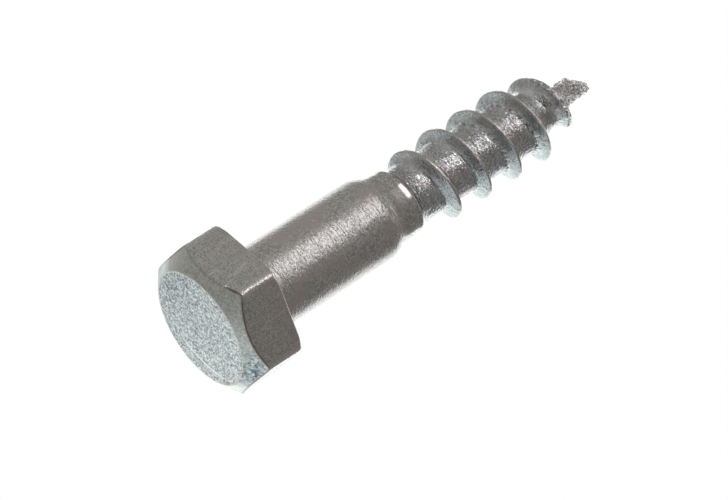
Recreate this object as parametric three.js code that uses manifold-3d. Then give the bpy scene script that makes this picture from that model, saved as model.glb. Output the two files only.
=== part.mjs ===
// A hexagon-head coach screw, 8 x 40 mm: a cold-formed head and plain shank, a rolled wood-screw thread
// and a short torn point, all in one piece of zinc-plated steel.
//
// Millimetres. The screw lies along +X. The origin is the middle of the head's end face, the point is
// towards +X, and two of the six spanner flats are level, facing +Z and -Z.

import * as THREE from 'three';
import { mergeVertices } from 'three/addons/utils/BufferGeometryUtils.js';
import Module from 'manifold-3d';

const wasm = await Module();
wasm.setup();

// Driving dimensions
const acrossFlats = 13;
const headHeight = 5.3;
const lengthUnderHead = 40;
const shankDiameter = 7.8;
const threadDiameter = 7.9;
const coreDiameter = 5.7;
const threadPitch = 3.6;
const roundSegments = 36; // facets in a full turn, of the turned shapes and of the thread alike

// Head
const acrossCorners = acrossFlats / Math.cos(Math.PI / 6);
const endFaceDiameter = 0.866 * acrossFlats;
const chamferAngle = THREE.MathUtils.degToRad(40); // of the chamfer cone, from the end face
const cornerEasing = 0.3; // how far the forged corners are rounded off at the bearing face
const filletRadius = 0.5; // between the bearing face and the shank

// Radii of the stem
const shankRadius = shankDiameter / 2;
const collarRadius = 0.43 * shankDiameter;
const coreRadius = coreDiameter / 2;
const crestRadius = threadDiameter / 2;
const stubRadius = 1.2;
const stubEndRadius = 0.5;

// Places along the stem, from the end face
const bearingFace = headHeight;
const shankEnd = bearingFace + 0.35 * lengthUnderHead;
const collarStart = shankEnd + 1.9;
const collarEnd = collarStart + 1.5;
const neckStart = collarEnd + 0.7;
const coneStart = bearingFace + 0.79 * lengthUnderHead;
const coneEnd = bearingFace + 0.93 * lengthUnderHead;
const screwEnd = bearingFace + lengthUnderHead;
const stubWaist = (coneEnd + screwEnd) / 2; // the stub stays full to here and then narrows to its end

// Thread: turns are counted from the first crest, which is on the screw's upper far side
const firstCrest = neckStart + threadPitch / 2;
const firstCrestAngle = THREE.MathUtils.degToRad(34); // about +X, from +Y towards +Z
const firstTurn = -0.45;
const lastTurn = 4.6;
const runIn = 0.75; // turns over which the ridge rises out of the neck
const runOut = 0.25; // turns over which it sinks back into the point
const ridgeFoot = 1.7; // width of the ridge where it leaves the core
const ridgeWaist = 0.75; // its width at a third of its height, because its flanks are hollow
const crestWidth = 0.22;
const ridgeSink = 0.4; // how far the ridge's root reaches into the core
const crestFallStart = firstCrest + 3.5 * threadPitch; // where the crests start to get lower
const crestFall = 1.44; // how much lower they are one pitch further on
const crestFallPower = 1.6;

// A closed geometry as a solid that can be joined and cut.
function solidFrom(geometry) {
  const bare = geometry.clone();
  bare.deleteAttribute('normal');
  bare.deleteAttribute('uv');
  const merged = mergeVertices(bare, 1e-4);
  return new wasm.Manifold(
    new wasm.Mesh({
      numProp: 3,
      vertProperties: merged.getAttribute('position').array,
      triVerts: new Uint32Array(merged.index.array),
    }),
  );
}

// A finished solid as a geometry with flat facets.
function geometryFrom(solid) {
  const mesh = solid.getMesh();
  const geometry = new THREE.BufferGeometry();
  geometry.setAttribute('position', new THREE.BufferAttribute(mesh.vertProperties, 3));
  geometry.setIndex(new THREE.BufferAttribute(mesh.triVerts, 1));
  const faceted = geometry.toNonIndexed();
  faceted.computeVertexNormals();
  return faceted;
}

// A round solid about the screw's axis. Its outline is a list of [radius, place along the screw].
function turnedSolid(outline) {
  const profile = outline.map(([radius, place]) => new THREE.Vector2(radius, place));
  const geometry = new THREE.LatheGeometry(profile, roundSegments);
  geometry.rotateZ(-Math.PI / 2);
  return solidFrom(geometry);
}

// A hexagon bar with two level flats, from the end face to the bearing face.
function hexagonBar() {
  const corners = [];
  for (let corner = 0; corner < 6; corner += 1) {
    const angle = (corner * Math.PI) / 3;
    corners.push(new THREE.Vector2(Math.cos(angle), Math.sin(angle)).multiplyScalar(acrossCorners / 2));
  }
  const bar = new THREE.ExtrudeGeometry(new THREE.Shape(corners), {
    depth: headHeight,
    bevelEnabled: false,
  });
  bar.rotateX(Math.PI / 2);
  bar.rotateZ(Math.PI / 2);
  return solidFrom(bar);
}

// The head: the bar cut by a turned blank, which chamfers the end face and eases the forged corners.
function head() {
  const blankRadius = acrossCorners / 2 + cornerEasing / 2;
  const chamferDepth = (blankRadius - endFaceDiameter / 2) * Math.tan(chamferAngle);
  const blank = turnedSolid([
    [0, 0],
    [endFaceDiameter / 2, 0],
    [blankRadius, chamferDepth],
    [blankRadius, headHeight - cornerEasing],
    [blankRadius - cornerEasing, headHeight],
    [0, headHeight],
  ]);
  return hexagonBar().intersect(blank);
}

// The stem: fillet, shank, collar, neck, core, cone and stub, turned in one outline from inside the head.
function stem() {
  const outline = [
    [0, bearingFace - filletRadius],
    [shankRadius + filletRadius, bearingFace - filletRadius],
  ];
  const filletSteps = 4;
  for (let step = 0; step <= filletSteps; step += 1) {
    const angle = ((step / filletSteps) * Math.PI) / 2;
    outline.push([
      shankRadius + filletRadius * (1 - Math.sin(angle)),
      bearingFace + filletRadius * (1 - Math.cos(angle)),
    ]);
  }
  outline.push(
    [shankRadius, shankEnd],
    [collarRadius, collarStart],
    [collarRadius, collarEnd],
    [coreRadius, neckStart],
    [coreRadius, coneStart],
    [stubRadius, coneEnd],
    [stubRadius, stubWaist],
    [stubEndRadius, screwEnd],
    [0, screwEnd],
  );
  return turnedSolid(outline);
}

// The core's radius under the thread: even, then a cone down to the stub.
function coreRadiusAt(place) {
  const along = THREE.MathUtils.clamp((place - coneStart) / (coneEnd - coneStart), 0, 1);
  return THREE.MathUtils.lerp(coreRadius, stubRadius, along);
}

// The crest's radius: even, then falling away in a curve over the cone.
function crestRadiusAt(place) {
  const pitchesPast = Math.max(0, (place - crestFallStart) / threadPitch);
  return crestRadius - crestFall * pitchesPast ** crestFallPower;
}

// The thread's ridge is extruded straight, its length counting turns, and is then wound round the core.
// In its section, height 0 is the core's surface, 1 is the crest and -1 is the sunk root.
function threadRidge() {
  const section = new THREE.Shape([
    new THREE.Vector2(-ridgeFoot / 2, -1),
    new THREE.Vector2(ridgeFoot / 2, -1),
    new THREE.Vector2(ridgeFoot / 2, 0),
    new THREE.Vector2(ridgeWaist / 2, 1 / 3),
    new THREE.Vector2(crestWidth / 2, 1),
    new THREE.Vector2(-crestWidth / 2, 1),
    new THREE.Vector2(-ridgeWaist / 2, 1 / 3),
    new THREE.Vector2(-ridgeFoot / 2, 0),
  ]);
  const turns = lastTurn - firstTurn;
  const ridge = new THREE.ExtrudeGeometry(section, {
    depth: turns,
    steps: Math.round(turns * roundSegments),
    bevelEnabled: false,
  });
  const points = ridge.getAttribute('position');
  for (let i = 0; i < points.count; i += 1) {
    const turn = firstTurn + points.getZ(i);
    const level = points.getY(i);
    const middle = firstCrest + threadPitch * turn;
    const rise = THREE.MathUtils.smoothstep(turn, firstTurn, firstTurn + runIn);
    const fall = THREE.MathUtils.smoothstep(lastTurn - turn, 0, runOut);
    const core = coreRadiusAt(middle);
    const crest = THREE.MathUtils.lerp(core - ridgeSink, crestRadiusAt(middle), Math.min(rise, fall));
    const foot = Math.min(core, crest);
    const radius = level < 0 ? core - 2 * ridgeSink : THREE.MathUtils.lerp(foot, crest, level);
    const angle = firstCrestAngle + turn * 2 * Math.PI;
    points.setXYZ(i, middle + points.getX(i), radius * Math.cos(angle), radius * Math.sin(angle));
  }
  return solidFrom(ridge);
}

const zincPlatedSteel = new THREE.MeshStandardMaterial({
  color: 0x9b9d9e,
  roughness: 0.38,
  metalness: 1,
});

const coachScrew = new THREE.Mesh(
  geometryFrom(head().add(stem()).add(threadRidge())),
  zincPlatedSteel,
);
coachScrew.name = 'coach_screw';

const screw = new THREE.Group();
screw.add(coachScrew);

export default screw;
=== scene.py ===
"""A zinc-plated coach screw, 8 x 40 mm, on a white studio floor.

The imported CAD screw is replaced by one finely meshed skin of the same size. The skin is a grid wound
round the screw's axis: plane rings make the head, shank and torn point, and a helical strip makes the
thread, so that its crest is always a clean row of points. The screw's sizes are in millimetres and the
studio's in metres.
"""

import math

import bpy
from mathutils import Matrix, Vector, noise


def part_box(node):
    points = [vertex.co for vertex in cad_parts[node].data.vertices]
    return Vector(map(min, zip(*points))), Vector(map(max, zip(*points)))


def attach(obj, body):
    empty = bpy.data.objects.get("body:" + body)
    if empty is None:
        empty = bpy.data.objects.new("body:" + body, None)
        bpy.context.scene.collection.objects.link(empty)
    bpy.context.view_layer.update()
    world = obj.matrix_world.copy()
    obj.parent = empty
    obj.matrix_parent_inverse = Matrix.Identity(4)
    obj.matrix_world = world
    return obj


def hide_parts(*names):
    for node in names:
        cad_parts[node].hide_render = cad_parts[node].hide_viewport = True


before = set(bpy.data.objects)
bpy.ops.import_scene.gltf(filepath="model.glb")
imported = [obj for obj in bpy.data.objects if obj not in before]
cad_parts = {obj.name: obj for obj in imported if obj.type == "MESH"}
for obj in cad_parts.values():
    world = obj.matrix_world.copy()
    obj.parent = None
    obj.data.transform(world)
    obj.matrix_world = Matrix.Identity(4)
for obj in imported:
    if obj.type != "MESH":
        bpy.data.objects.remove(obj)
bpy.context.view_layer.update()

NODE = "coach_screw"
MM = 0.001
node_low, node_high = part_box(NODE)

# Head. Its end face is at 0 and the point is towards +X. Corners are at 0, 60, 120... degrees about +X.
ACROSS_FLATS = (node_high.z - node_low.z) / MM
SCREW_LENGTH = (node_high.x - node_low.x) / MM
LENGTH_UNDER_HEAD = 40
HEAD_HEIGHT = SCREW_LENGTH - LENGTH_UNDER_HEAD
END_FACE_RADIUS = 0.433 * ACROSS_FLATS
CHAMFER_SLOPE = math.tan(math.radians(40))
CORNER_SHARPNESS = 80  # the power of the rounded hexagon: higher is sharper
CORNER_CROWDING = 0.7  # how closely the grid's columns crowd to the hexagon's corners
RIM_EASING = 0.12
CHAMFER_EDGE_EASING = 0.06
BACK_EDGE_EASING = 0.15
BACK_CORNER_EASING = 0.52
FILLET = 0.5

# Shank, shoulder, collar and neck
SHANK_RADIUS = 3.9
COLLAR_RADIUS = 3.33
COLLAR_TAPER = 0.14  # how much thinner the collar gets on the way to its rolled lip
LIP_LENGTH = 0.36
LIP_LEAN = 0.28  # how much nearer the head the lip is on the upper far side
LIP_FALL = (0.3, 0.75)  # how far past the lip the collar drops to the neck
NECK_RADIUS = 3.13
CORE_RADIUS = 2.84
SHANK_START = HEAD_HEIGHT + FILLET
SHANK_END = SHANK_START + 13.2
COLLAR_START = SHANK_END + 2.0
COLLAR_TAPER_START = COLLAR_START - 0.3
LIP = COLLAR_START + 1.2
THREAD_ZONE_START = LIP + LIP_FALL[1]
NECK_TAPER_START = 0.45  # past the lip
NECK_END = THREAD_ZONE_START + 0.75
CONE_START = HEAD_HEIGHT + 0.785 * LENGTH_UNDER_HEAD

# Torn stub. It was pulled off at a slant, so its upper side falls more steeply than its lower side.
STUB_RADIUS = 1.2
STUB_START = HEAD_HEIGHT + 0.925 * LENGTH_UNDER_HEAD
STUB_END = SCREW_LENGTH - 0.28
STUB_STRAIGHT = 1.2  # the length before its sides start to fall
STUB_UPPER_RADIUS = 1.33
STUB_UPPER_SLOPE = 0.8
STUB_LOWER_RADIUS = 0.94
STUB_LOWER_SLOPE = 0.1
STUB_END_HALF_WIDTH = 0.7
STUB_END_DOME = 0.06

# Thread. Turns are counted from the first crest on the screw's upper far side.
PITCH = 3.59
FIRST_CREST = 25.19
FIRST_CREST_ANGLE = math.radians(34)
FIRST_TURN = -0.35
LAST_TURN = 4.56
RUN_IN = 0.48  # the turns over which the ridge rises out of the neck
RUN_OUT = 0.09  # the turns over which it sinks back at its end
FIRST_CREST_DRIFT = -0.36  # how far the first crest is rolled from where an even pitch puts it
DRIFT_END = 0.5  # the turn by which the pitch is even
CREST_RADIUS = 3.95
CREST_FALL_START = FIRST_CREST + 3.5 * PITCH
CREST_FALL = 1.44  # how much lower the crest is one pitch after it starts to fall
CREST_FALL_POWER = 1.6
CREST_HALF_WIDTH = 0.12
FLANK_WIDTH = 0.58
FLANK_HOLLOW = 2  # the power of the flank's curve: higher is hollower
RIDGE_SINK = 0.4  # how far under the core the crest line starts and ends

# Changes along the thread, whose last crest is torn. Each pair is the turns over which one comes about.
LAPS_GROW = (0.8, 3)
LAPS_END = (3.6, 4)
FLANK_WIDENS = (3.6, 4.05)
CREST_WIDENS = (4.03, 4.15)
CREST_TEARS = (4.04, 4.16)
CREST_FRAYS = (4.15, 4.5)
LAST_FLANK_GAIN = 1.2
LAST_CREST_GAIN = 0.14
FRAY_DEPTH = 0.35
FRAYS_PER_TURN = 13

# Grid
STEPS_ROUND = 216
STRIP_COLUMNS = 36
STRIP_CROWDING = 0.7  # how closely the strip's columns crowd to its crest
STUB_RINGS = 26
SHANK_RING_SPACING = 0.4
COLLAR_RING_SPACING = 0.11
EASE_STEPS = 4

# The rolled end is a little bent, and the torn stub leans further the same way.
BEND_ANGLE = FIRST_CREST_ANGLE + math.pi
BEND_START = 20
BEND_REACH = 25
BEND_SHIFT = 0.215  # how far off line the screw would be after this reach, if it didn't turn back
BEND_RETURN = 0.1  # how much of that it turns back

# How far the rough surface stands off the drawn one
FORGED_RELIEF = 0.012
ROLLED_RELIEF = 0.022
LAP_RISE = 0.04
LAP_RELIEF = 0.1
TORN_LUMPS = 0.07
TORN_CRYSTALS = 0.12

# Zones of the skin, in the order of their materials, and the marks that it carries for them
END_FACE, CHAMFER, FLATS, SHANK, THREAD, TORN = range(6)
MARKS = ("crest", "flank", "root", "lap", "edge", "corner")

# Colours that materials share
EDGE_BROWN = (0.30, 0.22, 0.20)
WHITE = (1, 1, 1)

# The Mix node's colour sockets. They are known by number, because other sockets have the same names.
MIX_FACTOR, MIX_A, MIX_B, MIX_RESULT = 0, 6, 7, 2


def smoothstep(low, high, value):
    """0 at low, 1 at high, held beyond them and smooth between them. Low can be the larger one."""
    t = clamped(low, high, value)
    return t * t * (3 - 2 * t)


def clamped(low, high, value):
    """0 at low, 1 at high, held beyond them and straight between them."""
    return min(max((value - low) / (high - low), 0), 1)


def lerp(a, b, t):
    return a + (b - a) * t


def bell(value, middle, width):
    """1 at the middle, falling smoothly to almost nothing two widths away."""
    return math.exp(-(((value - middle) / width) ** 2))


def grain(place, y, z, scale, stretch=1.0, layer=0.0):
    """Smooth noise from -1 to 1, with lumps 1/scale mm wide and stretched along the screw."""
    return noise.noise(Vector((place * scale / stretch + layer, y * scale, z * scale + layer)))


# ---------------------------------------------------------------- the screw's shape


def hexagon_radius(angle):
    """The distance from the axis to the hexagon's side, with its corners slightly rounded."""
    total = 0
    for side in range(6):
        total += max(0, math.cos(angle - math.radians(30 + 60 * side))) ** CORNER_SHARPNESS
    return ACROSS_FLATS / 2 / total ** (1 / CORNER_SHARPNESS)


def crowded(angle):
    """The column's angle, moved towards the nearest corner of the hexagon."""
    return angle - CORNER_CROWDING * math.sin(6 * angle) / 6


def eased(first, corners):
    """A line from the first corner through the others, each (place, radius, easing, steps, zone).

    Each corner is an arc, and straight stretches have their points closer together near their ends. The
    steps and the zone are those of the stretch that ends at the corner. Returns (point, zone) pairs, with
    the zone that lies just before the point.
    """
    line = []
    start = Vector(first)
    for index, (place, radius, easing, steps, zone) in enumerate(corners):
        corner = Vector((place, radius))
        end = corner + (start - corner).normalized() * easing
        for step in range(1, steps + 1):
            t = (1 - math.cos(math.pi * step / steps)) / 2
            line.append((start.lerp(end, t), zone))
        start = corner
        if easing:
            following = corners[index + 1]
            start = corner + (Vector(following[:2]) - corner).normalized() * easing
            for step in range(1, EASE_STEPS + 1):
                t = step / EASE_STEPS
                bent = end.lerp(corner, t).lerp(corner.lerp(start, t), t)
                line.append((bent, zone if t <= 0.5 else following[4]))
    return line


def chamfer_edge(side):
    """Where along the screw the chamfer meets the flat, at a distance from the axis."""
    return (side - END_FACE_RADIUS) * CHAMFER_SLOPE


def head_outline(angle):
    """The head's outline at one angle: end face, chamfer, flat, bearing face and fillet."""
    side = hexagon_radius(angle)
    corner_nearness = smoothstep(0.45, 0.97, (side * 2 / ACROSS_FLATS - 1) / (2 / math.sqrt(3) - 1))
    back_easing = lerp(BACK_EDGE_EASING, BACK_CORNER_EASING, corner_nearness)
    return eased((0, 0), [
        (0, END_FACE_RADIUS, RIM_EASING, 22, END_FACE),
        (chamfer_edge(side), side, CHAMFER_EDGE_EASING, 9, CHAMFER),
        (HEAD_HEIGHT, side, back_easing, 16, FLATS),
        (HEAD_HEIGHT, SHANK_RADIUS, FILLET, 9, FLATS),
        (SHANK_START, SHANK_RADIUS, 0, 1, SHANK),
    ])


def stem_radius(place, angle):
    """The round stem's radius under any thread."""
    lip = LIP - LIP_LEAN * math.cos(angle - FIRST_CREST_ANGLE)
    fall_start, fall_end = LIP_FALL
    radius = SHANK_RADIUS
    radius -= (SHANK_RADIUS - COLLAR_RADIUS - COLLAR_TAPER) * smoothstep(SHANK_END, COLLAR_START, place)
    radius -= COLLAR_TAPER * clamped(COLLAR_TAPER_START, lip - LIP_LENGTH / 2, place)
    radius -= (COLLAR_RADIUS - NECK_RADIUS) * smoothstep(lip + fall_start, lip + fall_end, place)
    radius -= (NECK_RADIUS - CORE_RADIUS) * clamped(lip + NECK_TAPER_START, NECK_END, place)
    return radius - (CORE_RADIUS - STUB_RADIUS) * clamped(CONE_START, STUB_START, place)


def place_after(turns):
    """Where the crest would be after a number of turns."""
    drift = FIRST_CREST_DRIFT * (1 - smoothstep(0, DRIFT_END, turns))
    return FIRST_CREST + PITCH * turns + drift


def turns_to(place):
    """The number of turns after which the crest would be at a place."""
    turns = (place - FIRST_CREST) / PITCH
    for _ in range(3):
        turns -= (place_after(turns) - place) / PITCH
    return turns


def thread_at(place, angle):
    """How far off the nearest crest a point is along the screw, that crest's turn and its height."""
    turns = turns_to(place)
    crests_passed = turns - (angle - FIRST_CREST_ANGLE) / math.tau
    off_crest = (crests_passed - round(crests_passed)) * PITCH
    turn = turns - off_crest / PITCH
    middle = place_after(turn)
    fall = max(0, (middle - CREST_FALL_START) / PITCH) ** CREST_FALL_POWER * CREST_FALL
    core = stem_radius(middle, angle)
    fray = FRAY_DEPTH * smoothstep(*CREST_FRAYS, turn) * grain(turn * FRAYS_PER_TURN, 0, 0, 1.0)
    crest = CREST_RADIUS - fall + fray
    rise = smoothstep(FIRST_TURN, FIRST_TURN + RUN_IN, turn)
    sink = smoothstep(0, RUN_OUT, LAST_TURN - turn)
    height = max(0, lerp(core - RIDGE_SINK, crest, min(rise, sink)) - core)
    return off_crest, turn, height


def thread_section(off_crest, turn):
    """The ridge's height from 0 to 1: a narrow crest and hollow flanks.

    The last crest is wider, and so is the last flank that faces the head.
    """
    crest_half_width = CREST_HALF_WIDTH + LAST_CREST_GAIN * smoothstep(*CREST_WIDENS, turn)
    flank_width = FLANK_WIDTH
    if off_crest < 0:
        flank_width *= 1 + LAST_FLANK_GAIN * smoothstep(*FLANK_WIDENS, turn)
    down = max(0, abs(off_crest) - crest_half_width) / flank_width
    return max(0, 1 - down) ** FLANK_HOLLOW


def stem_point(place, angle):
    """A point on the stem, with the thread and the bend."""
    off_crest, turn, height = thread_at(place, angle)
    radius = stem_radius(place, angle) + height * thread_section(off_crest, turn)
    return Vector((place, radius * math.cos(angle), radius * math.sin(angle))) + bend(place)


def bend(place):
    """How far the axis is off line at a place along the screw."""
    reach = max(0, (place - BEND_START) / BEND_REACH)
    shift = BEND_SHIFT * reach - BEND_RETURN * reach * reach
    return Vector((0, shift * math.cos(BEND_ANGLE), shift * math.sin(BEND_ANGLE)))


def stub_point(along, angle):
    """A point on the torn stub. Along runs from 0 to 1. The upper side is at the first crest's angle."""
    place = lerp(STUB_START, STUB_END, along)
    swell = smoothstep(0, 0.12, along)
    fallen = max(0, place - STUB_START - STUB_STRAIGHT)
    upper = lerp(STUB_RADIUS, STUB_UPPER_RADIUS, swell) - STUB_UPPER_SLOPE * fallen
    lower = lerp(STUB_RADIUS, STUB_LOWER_RADIUS, swell) - STUB_LOWER_SLOPE * fallen
    half_width = lerp(STUB_RADIUS, STUB_END_HALF_WIDTH, smoothstep(0.45, 1.1, along))
    upward = (upper + lower) / 2 * math.cos(angle - FIRST_CREST_ANGLE) + (upper - lower) / 2
    sideways = half_width * math.sin(angle - FIRST_CREST_ANGLE)
    y = upward * math.cos(FIRST_CREST_ANGLE) - sideways * math.sin(FIRST_CREST_ANGLE)
    z = upward * math.sin(FIRST_CREST_ANGLE) + sideways * math.cos(FIRST_CREST_ANGLE)
    return Vector((place, y, z)) + bend(place)


# ---------------------------------------------------------------- the grid


class Skin:
    """Points, faces and each face's zone, in millimetres."""

    def __init__(self):
        self.points = []
        self.faces = []
        self.zones = []

    def point(self, position):
        self.points.append(position)
        return len(self.points) - 1

    def face(self, corners, zone):
        """A face, unless some of its corners are the same point and fewer than three are left."""
        distinct = list(dict.fromkeys(corners))
        if len(distinct) > 2:
            self.faces.append(distinct)
            self.zones.append(zone)

    def band(self, ring, following, zone):
        """The faces between two rings of points."""
        for step in range(STEPS_ROUND):
            after = (step + 1) % STEPS_ROUND
            self.face((ring[step], following[step], following[after], ring[after]), zone)


def step_angle(step):
    return math.tau * step / STEPS_ROUND


def add_head(skin):
    """The head, from the middle of its end face to the end of the fillet. Returns the last ring."""
    centre = skin.point(Vector((0, 0, 0)))
    columns = []
    for step in range(STEPS_ROUND):
        angle = crowded(step_angle(step))
        columns.append((angle, head_outline(angle)))
    previous = [centre] * STEPS_ROUND
    for index, (_, zone) in enumerate(columns[0][1]):
        ring = []
        for step, (angle, outline) in enumerate(columns):
            place, radius = outline[index][0]
            spread = smoothstep(SHANK_RADIUS, ACROSS_FLATS / 2, radius) if place > HEAD_HEIGHT - 0.01 else 1
            turned = lerp(step_angle(step), angle, spread)
            ring.append(skin.point(Vector((place, radius * math.cos(turned), radius * math.sin(turned)))))
        skin.band(previous, ring, zone)
        previous = ring
    return previous


def add_rings(skin, previous, start, end, spacing, zone):
    """Plane rings along the stem. Returns the last one."""
    count = round((end - start) / spacing)
    for index in range(1, count + 1):
        place = lerp(start, end, index / count)
        ring = [skin.point(stem_point(place, step_angle(step))) for step in range(STEPS_ROUND)]
        skin.band(previous, ring, zone)
        previous = ring
    return previous


def strip_offset(column):
    """A strip column's place off the crest, in pitches. The columns are closest at the crest."""
    t = column / STRIP_COLUMNS
    return t - 0.5 + STRIP_CROWDING * math.sin(math.tau * t) / math.tau


def add_thread(skin, first_ring):
    """The helical strip, from the collar's ring to the stub's. Returns the last ring.

    The strip is cut off square at both ends: points that would lie beyond an end lie on its ring.
    """
    start, end = THREAD_ZONE_START, STUB_START
    last_ring = [skin.point(stem_point(end, step_angle(step))) for step in range(STEPS_ROUND)]
    angle_offset = FIRST_CREST_ANGLE / math.tau
    first_row = math.floor(turns_to(start) + angle_offset - 1) * STEPS_ROUND
    rows = math.ceil((end - start) / PITCH + 3) * STEPS_ROUND
    made = {}

    def strip_point(row, column):
        if column == STRIP_COLUMNS:
            row, column = row + STEPS_ROUND, 0
        place = place_after(row / STEPS_ROUND - angle_offset + strip_offset(column))
        step = row % STEPS_ROUND
        if place <= start:
            return first_ring[step]
        if place >= end:
            return last_ring[step]
        if (row, column) not in made:
            made[row, column] = skin.point(stem_point(place, step_angle(step)))
        return made[row, column]

    for row in range(first_row, first_row + rows):
        for column in range(STRIP_COLUMNS):
            corners = (
                strip_point(row, column),
                strip_point(row, column + 1),
                strip_point(row + 1, column + 1),
                strip_point(row + 1, column),
            )
            skin.face(corners, THREAD)
    return last_ring


def add_stub(skin, previous):
    """The torn stub, closed by rings that shrink to a point a little past its end."""
    for index in range(1, STUB_RINGS + 1):
        ring = [skin.point(stub_point(index / STUB_RINGS, step_angle(step))) for step in range(STEPS_ROUND)]
        skin.band(previous, ring, TORN)
        previous = ring
    middle = sum((skin.points[i] for i in previous), Vector()) / STEPS_ROUND
    dome = Vector((STUB_END_DOME, 0, 0))
    for share in (0.8, 0.6, 0.4, 0.2):
        ring = [skin.point(middle.lerp(skin.points[i], share) + dome * (1 - share)) for i in previous]
        skin.band(previous, ring, TORN)
        previous = ring
    tip = skin.point(middle + dome)
    skin.band(previous, [tip] * STEPS_ROUND, TORN)


# ---------------------------------------------------------------- surface relief


def relief(place, y, z, lap):
    """How far the real surface stands off the drawn one: forged, rolled and torn metal."""
    if place < SHANK_START:
        return FORGED_RELIEF * grain(place, y, z, 0.8)
    if place < SHANK_END:
        return FORGED_RELIEF * grain(place, y, z, 0.7, stretch=2.0)
    rolled = smoothstep(LIP + 0.4, NECK_END, place)
    torn = smoothstep(STUB_START - 0.6, STUB_START + 0.4, place)
    dents = ROLLED_RELIEF * grain(place, y, z, 1.7)
    laps = lap * (LAP_RISE + LAP_RELIEF * grain(place, y, z, 3.2, layer=5.0))
    lumps = TORN_LUMPS * grain(place, y, z, 1.9, layer=3.0)
    crystals = TORN_CRYSTALS * grain(place, y, z, 4.5, layer=9.0)
    return rolled * (dents + laps) + torn * (lumps + crystals)


def lap_at(off_crest, turn, height):
    """How rough the thread is: laps at the roots of flanks that face the head, and a torn last crest."""
    root = bell(off_crest, -0.66, 0.16)
    root *= lerp(0.3, 1, smoothstep(*LAPS_GROW, turn))
    root *= lerp(1, 0.1, smoothstep(*LAPS_END, turn))
    torn_crest = bell(off_crest, -0.1, 0.25) * smoothstep(*CREST_TEARS, turn)
    return max(root, torn_crest) * smoothstep(0.3, 0.8, height)


def thread_marks(place, angle):
    """How much a point on the thread is crest, flank, the core beside a flank's root, and lap."""
    off_crest, turn, height = thread_at(place, angle)
    ridge = smoothstep(0.2, 0.6, height)
    return {
        "crest": ridge * smoothstep(0.17, 0.06, abs(off_crest)),
        "flank": ridge * smoothstep(0.8, 0.55, abs(off_crest)),
        "root": ridge * bell(off_crest, -0.9, 0.4),
        "lap": lap_at(off_crest, turn, height),
    }


def head_marks(place, radius, angle):
    """How much a point on the head is on the chamfer's edge, and on a corner behind that edge."""
    past_edge = place - chamfer_edge(hexagon_radius(angle))
    off_corner = radius * math.sin(3 * angle) / 3
    return {
        "edge": bell(past_edge, 0, 0.08),
        "corner": smoothstep(-0.2, 0.1, past_edge) * bell(off_corner, 0, 0.3),
    }


def roughen(mesh):
    """Moves each point by its relief, and stores its marks as attributes that the materials read."""
    marks = {name: [0.0] * len(mesh.vertices) for name in MARKS}
    normals = [vertex.normal.copy() for vertex in mesh.vertices]
    for index, vertex in enumerate(mesh.vertices):
        place, y, z = vertex.co / MM
        radius = math.hypot(y, z)
        angle = math.atan2(z, y)
        found = {}
        if place > THREAD_ZONE_START:
            found = thread_marks(place, angle)
        elif place < HEAD_HEIGHT and radius > END_FACE_RADIUS + 0.2:
            found = head_marks(place, radius, angle)
        for name, value in found.items():
            marks[name][index] = value
        vertex.co += normals[index] * relief(place, y, z, found.get("lap", 0)) * MM
    for name, values in marks.items():
        mesh.attributes.new(name, "FLOAT", "POINT").data.foreach_set("value", values)
    mesh.update()


def make_skin():
    """The whole skin's mesh, in metres, with one material slot for each zone."""
    skin = Skin()
    ring = add_head(skin)
    ring = add_rings(skin, ring, SHANK_START, SHANK_END, SHANK_RING_SPACING, SHANK)
    ring = add_rings(skin, ring, SHANK_END, THREAD_ZONE_START, COLLAR_RING_SPACING, SHANK)
    ring = add_thread(skin, ring)
    add_stub(skin, ring)
    mesh = bpy.data.meshes.new("screw_skin")
    mesh.from_pydata([point * MM for point in skin.points], [], skin.faces)
    mesh.polygons.foreach_set("material_index", skin.zones)
    mesh.polygons.foreach_set("use_smooth", [True] * len(skin.faces))
    mesh.update()
    roughen(mesh)
    return mesh


# ---------------------------------------------------------------- materials


def set_input(tree, socket, value):
    """Links a socket to another node's output, or sets its value."""
    if isinstance(value, bpy.types.NodeSocket):
        tree.links.new(value, socket)
    else:
        socket.default_value = value


def add_node(tree, kind, inputs=None, **settings):
    """A node with its settings, and its inputs set to values or linked to other nodes' outputs."""
    node = tree.nodes.new(kind)
    for name, value in settings.items():
        setattr(node, name, value)
    for name, value in (inputs or {}).items():
        set_input(tree, node.inputs[name], value)
    return node


def new_material(name):
    material = bpy.data.materials.new(name)
    material.use_nodes = True
    return material, material.node_tree


def make_metal(tree, tone, normal, roughness):
    """Sets the shader of a material to bare metal."""
    shader = tree.nodes["Principled BSDF"]
    inputs = {"Metallic": 1, "Base Color": tone, "Normal": normal, "Roughness": roughness}
    for name, value in inputs.items():
        set_input(tree, shader.inputs[name], value)


def position(tree, stretch=(1, 1, 1)):
    """Where the point is on the screw, in millimetres, shrunk along the directions of stretch."""
    coordinates = add_node(tree, "ShaderNodeTexCoord")
    scale = [1 / MM / amount for amount in stretch]
    mapping = add_node(tree, "ShaderNodeMapping", {"Vector": coordinates.outputs["Object"], "Scale": scale})
    return mapping.outputs["Vector"]


def noise_at(tree, vector, scale, detail=2.0, roughness=0.5, waviness=0.0):
    """Noise from 0 to 1, with lumps 1/scale mm wide."""
    inputs = {
        "Vector": vector,
        "Scale": scale,
        "Detail": detail,
        "Roughness": roughness,
        "Distortion": waviness,
    }
    return add_node(tree, "ShaderNodeTexNoise", inputs).outputs["Fac"]


def ramp(tree, value, low, high, low_value=0.0, high_value=1.0):
    """A value mapped from low..high to low_value..high_value, and held beyond them."""
    inputs = {"Value": value, "From Min": low, "From Max": high, "To Min": low_value, "To Max": high_value}
    return add_node(tree, "ShaderNodeMapRange", inputs).outputs["Result"]


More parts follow.
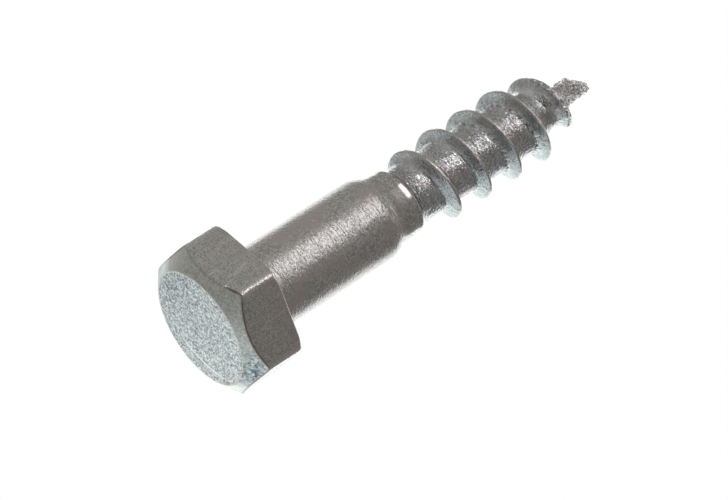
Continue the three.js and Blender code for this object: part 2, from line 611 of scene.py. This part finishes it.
def blend(tree, factor, a, b):
    """A colour from a to b. Each of them is a node's output or a (red, green, blue) tuple."""
    node = add_node(tree, "ShaderNodeMix", data_type="RGBA")
    for index, value in ((MIX_FACTOR, factor), (MIX_A, a), (MIX_B, b)):
        set_input(tree, node.inputs[index], (*value, 1) if isinstance(value, tuple) else value)
    return node.outputs[MIX_RESULT]


def bump(tree, height, distance, strength=1.0, normal=None):
    """A bumped normal. The height runs from 0 to 1 and the distance is in millimetres."""
    inputs = {"Height": height, "Distance": distance * MM, "Strength": strength}
    if normal is not None:
        inputs["Normal"] = normal
    return add_node(tree, "ShaderNodeBump", inputs).outputs["Normal"]


def coordinate(tree, axis):
    """The X, Y or Z of the point on the screw, in millimetres."""
    return add_node(tree, "ShaderNodeSeparateXYZ", {"Vector": position(tree)}).outputs[axis]


def along_screw(tree, start, end, first=0.0, last=1.0):
    """A value that goes from first to last between two places along the screw, in millimetres."""
    return ramp(tree, coordinate(tree, "X"), start, end, first, last)


def attribute(tree, name):
    return add_node(tree, "ShaderNodeAttribute", attribute_name=name).outputs["Fac"]


def calculated(tree, operation, a, b=0.0):
    return add_node(tree, "ShaderNodeMath", {0: a, 1: b}, operation=operation).outputs["Value"]


def times(tree, a, b):
    return calculated(tree, "MULTIPLY", a, b)


def distance(tree, vector, centre):
    apart = add_node(tree, "ShaderNodeVectorMath", {0: vector, 1: centre}, operation="DISTANCE")
    return apart.outputs["Value"]


def across(tree, y, z):
    """The distance in the plane across the screw from a point, in millimetres."""
    flat = add_node(tree, "ShaderNodeVectorMath", {0: position(tree), 1: (0, 1, 1)}, operation="MULTIPLY")
    return distance(tree, flat.outputs["Vector"], (0, y, z))


def near(tree, centre, reach, amount=1.0):
    """The amount at a centre, falling to 0 at the reach, in millimetres."""
    return ramp(tree, distance(tree, position(tree), centre), 0, reach, amount, 0)


def line_at(tree, value, middle, half_width):
    """1 where a value is at the middle of a line, falling to 0 at its sides."""
    off = calculated(tree, "ABSOLUTE", calculated(tree, "SUBTRACT", value, middle))
    return ramp(tree, off, 0, half_width, 1, 0)


def speckled(tree, dark, light, scale):
    """A colour that changes from grain to grain, with so many grains to the millimetre."""
    grains = add_node(tree, "ShaderNodeTexVoronoi", {"Vector": position(tree), "Scale": scale})
    return blend(tree, ramp(tree, grains.outputs["Color"], 0.2, 0.8), dark, light)


def tinted(tree, tone, tint, scale, low, high):
    """The tone with patches of a tint, where a noise is from low to high."""
    patches = noise_at(tree, position(tree), scale, 3, 0.6)
    return blend(tree, ramp(tree, patches, low, high), tone, tint)


def end_face_zinc():
    """Shot-like grain, bluish, with a thin tan rim, one long faint die mark, a small stain and painted
    shade over the upper far side.
    """
    material, tree = new_material("zinc_end_face")
    grains = noise_at(tree, position(tree), 3.8, 1)
    rim = ramp(tree, across(tree, 0, 0), END_FACE_RADIUS - 0.16, END_FACE_RADIUS - 0.02)
    die_mark = line_at(tree, across(tree, -1.2, 3.1), 7.16, 0.16)
    die_mark = times(tree, die_mark, near(tree, (0, -0.6, -4.2), 3.6, 3))
    # Painted shade: the upper far side fades to a darker copy of the speckle.
    shaded = near(tree, (0, 5, 5), 11, 0.8)
    stain = near(tree, (0, -3.7, -4.3), 0.8)
    normal = bump(tree, grains, 0.06)
    normal = bump(tree, die_mark, 0.01, normal=normal)
    tone = speckled(tree, (0.27, 0.30, 0.31), WHITE, 7.3)
    shade = speckled(tree, (0.06, 0.08, 0.09), (0.68, 0.70, 0.72), 7.3)
    tone = blend(tree, shaded, tone, shade)
    tone = blend(tree, die_mark, tone, WHITE)
    tone = blend(tree, stain, tone, (0.36, 0.27, 0.20))
    tone = blend(tree, rim, tone, (0.80, 0.70, 0.58))
    make_metal(tree, tone, normal, 0.33)
    return material


def chamfer_zinc():
    """Smoothly turned, greenish grey, with a painted reflection at each of three corners: a bluish one with
    dark speckles, a pale one and a dark painted shadow.
    """
    material, tree = new_material("zinc_chamfer")
    normal = bump(tree, noise_at(tree, position(tree), 4.5, 3, 0.6), 0.02)
    # Near side: dark speckles on a bluish painted reflection.
    speckled_painted_reflection = near(tree, (1, -6.4, -0.8), 3.8, 1.3)
    # Upper far side: a pale painted reflection, lighter than the rest of the chamfer.
    pale_painted_reflection = near(tree, (1, 4.4, 4.8), 2.8, 1.1)
    # Far side: a dark painted shadow, standing for the head's shadow on the floor as the chamfer mirrors
    # it.
    mirrored_painted_shadow = near(tree, (1, 6.6, 1.2), 2.6, 1.8)
    tone = speckled(tree, (0.58, 0.59, 0.55), (0.84, 0.85, 0.815), 6.5)
    bluish = speckled(tree, (0.18, 0.23, 0.26), (0.86, 0.92, 0.94), 4.5)
    tone = blend(tree, speckled_painted_reflection, tone, bluish)
    tone = blend(tree, pale_painted_reflection, tone, (0.95, 0.97, 0.95))
    tone = blend(tree, mirrored_painted_shadow, tone, (0.31, 0.34, 0.35))
    tone = blend(tree, edge_line(tree), tone, EDGE_BROWN)
    make_metal(tree, tone, normal, 0.33)
    return material


def edge_line(tree):
    """How brown the chamfer's edge is. The line is faint on the level flat on top, but for one stretch."""
    top = ACROSS_FLATS / 2
    strength = ramp(tree, coordinate(tree, "Z"), top - 0.7, top - 0.05, 1, 0.25)
    # A stretch of the level flat's edge where the brown line is strong.
    strong_stretch = near(tree, (1.3, -3.1, 6.5), 1.2, 2)
    return times(tree, attribute(tree, "edge"), calculated(tree, "MAXIMUM", strength, strong_stretch))


def flats_zinc():
    """Fine grain, drag lines and a few wavy scratches along the screw, beaded corners with a painted
    highlight and a nick painted white as a glint.
    """
    material, tree = new_material("zinc_flats")
    lines = noise_at(tree, position(tree, (10, 1, 1)), 4.5, 3)
    drag_lines = ramp(tree, lines, 0.52, 0.68, 0, 0.4)
    scratches = line_at(tree, noise_at(tree, position(tree, (4, 1, 1)), 0.6, 1), 0.5, 0.006)
    corner = attribute(tree, "corner")
    mauve = along_screw(tree, HEAD_HEIGHT - 2.2, HEAD_HEIGHT, 0, 0.45)
    # A small nick, dented by a bump and painted white as a glint.
    edge_nick_and_glint = (1.1, -2.05, 6.5)
    normal = bump(tree, lines, 0.03)
    normal = bump(tree, noise_at(tree, position(tree), 3), 0.12, corner, normal)
    normal = bump(tree, near(tree, edge_nick_and_glint, 0.25), 0.12, normal=normal)
    tone = speckled(tree, (0.50, 0.487, 0.472), (0.87, 0.85, 0.83), 10)
    tone = blend(tree, drag_lines, tone, (0.88, 0.84, 0.82))
    tone = blend(tree, mauve, tone, (0.72, 0.62, 0.62))
    tone = blend(tree, times(tree, scratches, 0.7), tone, (1, 0.95, 0.93))
    tone = blend(tree, edge_line(tree), tone, EDGE_BROWN)
    # Painted highlight: the corners are given a lighter tone.
    tone = blend(tree, corner, tone, (1, 0.93, 0.91))
    tone = blend(tree, near(tree, edge_nick_and_glint, 0.22, 2), tone, WHITE)
    make_metal(tree, tone, normal, 0.29)
    return material


def shank_zinc():
    """Wavy strokes round the shank break up the highlight, and die away on the smoother collar."""
    material, tree = new_material("zinc_shank")
    shoulder = (SHANK_END + 0.2, COLLAR_START - 0.4)
    strokes = noise_at(tree, position(tree, (1, 3, 3)), 4.6, 1, 0.5, 0.7)
    normal = bump(tree, strokes, 0.055, along_screw(tree, *shoulder, 1, 0.05))
    tone = speckled(tree, (0.50, 0.485, 0.47), (0.86, 0.845, 0.825), 7.5)
    tone = tinted(tree, tone, (0.74, 0.66, 0.66), 0.35, 0.45, 0.65)
    tone = tinted(tree, tone, (1, 0.98, 1), 3, 0.66, 0.70)
    make_metal(tree, tone, normal, along_screw(tree, *shoulder, 0.34, 0.2))
    return material


def thread_zinc():
    """Glossy rolled metal: broken highlights on the core, crackled flanks, nicked laps with painted white
    and black sparkles, and a pale crest.

    The core beside a flank's root has a painted highlight that grows higher up, and the flanks have a
    greenish painted shade, strongest low down, and are crackled below.
    """
    material, tree = new_material("zinc_thread")
    flank = attribute(tree, "flank")
    lap = attribute(tree, "lap")
    height = coordinate(tree, "Z")
    dents = noise_at(tree, position(tree), 2.2, 2, 0.5, 0.5)
    strokes = noise_at(tree, position(tree, (1, 2.2, 2.2)), 5, 2, 0.5, 0.8)
    nicks = noise_at(tree, position(tree, (1, 1.6, 1.6)), 3.6, 2, 0.6)
    crackle = noise_at(tree, position(tree), 3.6, 2, 0.6, 1.5)
    normal = bump(tree, dents, 0.07, ramp(tree, flank, 0, 1, 1, 0.3))
    normal = bump(tree, strokes, 0.09, ramp(tree, flank, 0, 1, 1, 0.2), normal)
    normal = bump(tree, crackle, 0.05, flank, normal)
    normal = bump(tree, nicks, 0.4, lap, normal)

    # Painted shade: the flanks take a darker greenish tone, more strongly towards the bottom.
    greenish = times(tree, flank, ramp(tree, height, 1, 3, 0.75, 0.3))
    # Painted highlight: the core beside a flank's root is whitened, more so higher up.
    painted_root_highlight = times(tree, attribute(tree, "root"), ramp(tree, height, 0, 2.4, 0, 0.8))
    hatching = times(tree, flank, ramp(tree, height, 2.6, 1.2, 0.1, 0.95))
    hatching = times(tree, hatching, ramp(tree, crackle, 0.5, 0.6))
    hatching = times(tree, hatching, along_screw(tree, CONE_START, CONE_START + 3, 1, 0.4))
    # Painted sparkles: white and black flecks in the laps stand for glints and dark reflections.
    painted_white_sparkles = times(tree, lap, ramp(tree, nicks, 0.52, 0.57))
    painted_black_sparkles = times(tree, lap, ramp(tree, nicks, 0.45, 0.40, 0, 0.5))

    tone = speckled(tree, (0.50, 0.51, 0.52), (0.86, 0.87, 0.88), 6.5)
    tone = tinted(tree, tone, (0.70, 0.62, 0.64), 0.45, 0.48, 0.62)
    tone = blend(tree, greenish, tone, (0.45, 0.49, 0.485))
    tone = blend(tree, painted_root_highlight, tone, WHITE)
    tone = blend(tree, hatching, tone, (0.28, 0.33, 0.35))
    tone = blend(tree, attribute(tree, "crest"), tone, (0.75, 0.69, 0.66))
    tone = blend(tree, painted_white_sparkles, tone, WHITE)
    tone = blend(tree, painted_black_sparkles, tone, (0.06, 0.06, 0.07))
    make_metal(tree, tone, normal, 0.11)
    return material


def torn_zinc():
    """Rough, crystalline torn metal, slightly mauve, with glints."""
    material, tree = new_material("zinc_torn_point")
    crystals = noise_at(tree, position(tree), 1.8, 3, 0.6)
    tone = speckled(tree, (0.84, 0.78, 0.79), WHITE, 6.5)
    make_metal(tree, tone, bump(tree, crystals, 0.8), 0.08)
    return material


def make_screw():
    """The screw's skin, with its materials in the order of the zones."""
    screw = bpy.data.objects.new("zinc_coach_screw", make_skin())
    bpy.context.scene.collection.objects.link(screw)
    for make_material in (end_face_zinc, chamfer_zinc, flats_zinc, shank_zinc, thread_zinc, torn_zinc):
        screw.data.materials.append(make_material())
    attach(screw, "root")
    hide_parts("coach_screw")


# ---------------------------------------------------------------- studio


def facing(direction, level):
    """A rotation whose Z axis is the direction and whose X axis is as near as can be to level."""
    back = direction.normalized()
    side = (level - back * level.dot(back)).normalized()
    return Matrix((side, back.cross(side), back)).transposed()


def area_light(name, place, back, long_side, size, radiance, colour):
    """A soft rectangular light that shines away from its back.

    Its radiance is what a mirror facing it would show.
    """
    lamp = bpy.data.lights.new(name, "AREA")
    lamp.shape = "RECTANGLE"
    lamp.size, lamp.size_y = size
    lamp.energy = radiance * math.pi * size[0] * size[1]
    lamp.color = colour
    light = bpy.data.objects.new(name, lamp)
    light.matrix_world = Matrix.Translation(place) @ facing(back, long_side).to_4x4()
    light.visible_camera = False
    bpy.context.scene.collection.objects.link(light)


def make_lights():
    """A light table under the screw that runs far back, and one long softbox above its right side."""
    left, right, front, back = -0.03, 0.7, -0.088, 1.3
    below = Vector((0, 0, -1))
    table_middle = Vector(((left + right) / 2, (front + back) / 2, 0)) + below * 0.25
    table_size = (right - left, back - front)
    area_light("light_table", table_middle, below, Vector((1, 0, 0)), table_size, 1.12, (0.94, 1, 0.99))

    above = Vector((0.465, -0.27, 0.843))
    long_side = Vector((0, -0.953, -0.305))
    area_light("softbox", above * 0.7, above, long_side, (0.54, 0.2), 1.63, (1, 0.985, 1))


def make_world():
    """White to the camera. Reflections see a grey room, darker in front than behind and above.

    Three reflectors stand in it: one low beyond the head, one past the point and one that the end face
    mirrors. A dark card stands behind the camera.
    """
    world = bpy.data.worlds.new("studio")
    bpy.context.scene.world = world
    world.use_nodes = True
    tree = world.node_tree
    tree.nodes.clear()
    direction = add_node(tree, "ShaderNodeTexCoord").outputs["Generated"]

    def toward(aim, low, high):
        """0 to 1 as the direction's share along the aim goes from low to high."""
        inputs = {0: direction, 1: aim}
        along = add_node(tree, "ShaderNodeVectorMath", inputs, operation="DOT_PRODUCT")
        return ramp(tree, along.outputs["Value"], low, high)

    grey = blend(tree, toward((0, 0.8, 0.6), -0.7, 0.85), (0.185, 0.18, 0.17), (0.31, 0.31, 0.295))
    grey = blend(tree, toward((-0.75, -0.05, -0.66), 0.57, 0.87), grey, (0.64, 0.68, 0.69))
    grey = blend(tree, toward((1, 0, -0.05), 0.9, 0.98), grey, (1.3, 1.27, 1.26))
    grey = blend(tree, toward((-0.45, 0.5, -0.74), 0.85, 0.97), grey, (0.79, 0.85, 0.845))
    grey = blend(tree, toward((-0.45, -0.5, 0.74), 0.8, 0.97), grey, (0.05, 0.04, 0.04))
    room = add_node(tree, "ShaderNodeBackground", {"Color": grey})
    white = add_node(tree, "ShaderNodeBackground", {"Color": (1, 1, 1, 1)})
    seen = add_node(tree, "ShaderNodeLightPath").outputs["Is Camera Ray"]
    mixed = add_node(tree, "ShaderNodeMixShader", {0: seen, 1: room.outputs[0], 2: white.outputs[0]})
    add_node(tree, "ShaderNodeOutputWorld", {"Surface": mixed.outputs[0]})


def make_floor():
    """A white floor under the head. It shows no shadow, and doesn't light or mirror in the screw."""
    reach = 2
    mesh = bpy.data.meshes.new("floor")
    corners = [(-reach, -reach), (reach, -reach), (reach, reach), (-reach, reach)]
    mesh.from_pydata([(x, y, node_low.z) for x, y in corners], [], [(0, 1, 2, 3)])
    floor = bpy.data.objects.new("floor", mesh)
    bpy.context.scene.collection.objects.link(floor)
    material = bpy.data.materials.new("white_floor")
    material.use_nodes = True
    tree = material.node_tree
    tree.nodes.clear()
    glow = add_node(tree, "ShaderNodeEmission", {"Color": (1, 1, 1, 1), "Strength": 1})
    add_node(tree, "ShaderNodeOutputMaterial", {"Surface": glow.outputs[0]})
    mesh.materials.append(material)
    floor.visible_glossy = False
    floor.visible_diffuse = False
    floor.visible_shadow = False


def make_camera():
    """A long lens, looking down on the head from its end."""
    azimuth, elevation, roll = (math.radians(value) for value in (-42.34, 47.78, 1.06))
    aim = Vector((17.34, -1.64, -1.10)) * MM
    distance_to_aim = 0.3935
    back = Vector((
        math.sin(azimuth) * math.cos(elevation),
        -math.cos(azimuth) * math.cos(elevation),
        math.sin(elevation),
    ))
    lens = bpy.data.cameras.new("camera")
    lens.sensor_width = 36
    lens.lens = 222.5
    lens.clip_start = 0.01
    camera = bpy.data.objects.new("camera", lens)
    level = Vector((0, 0, 1)).cross(back)
    turn = Matrix.Rotation(roll, 3, back)
    rotation = turn @ facing(back, level)
    camera.matrix_world = Matrix.Translation(aim + back * distance_to_aim) @ rotation.to_4x4()
    bpy.context.scene.collection.objects.link(camera)
    bpy.context.scene.camera = camera


bpy.context.scene.view_settings.view_transform = "Standard"
make_camera()
make_world()
make_floor()
make_lights()
make_screw()
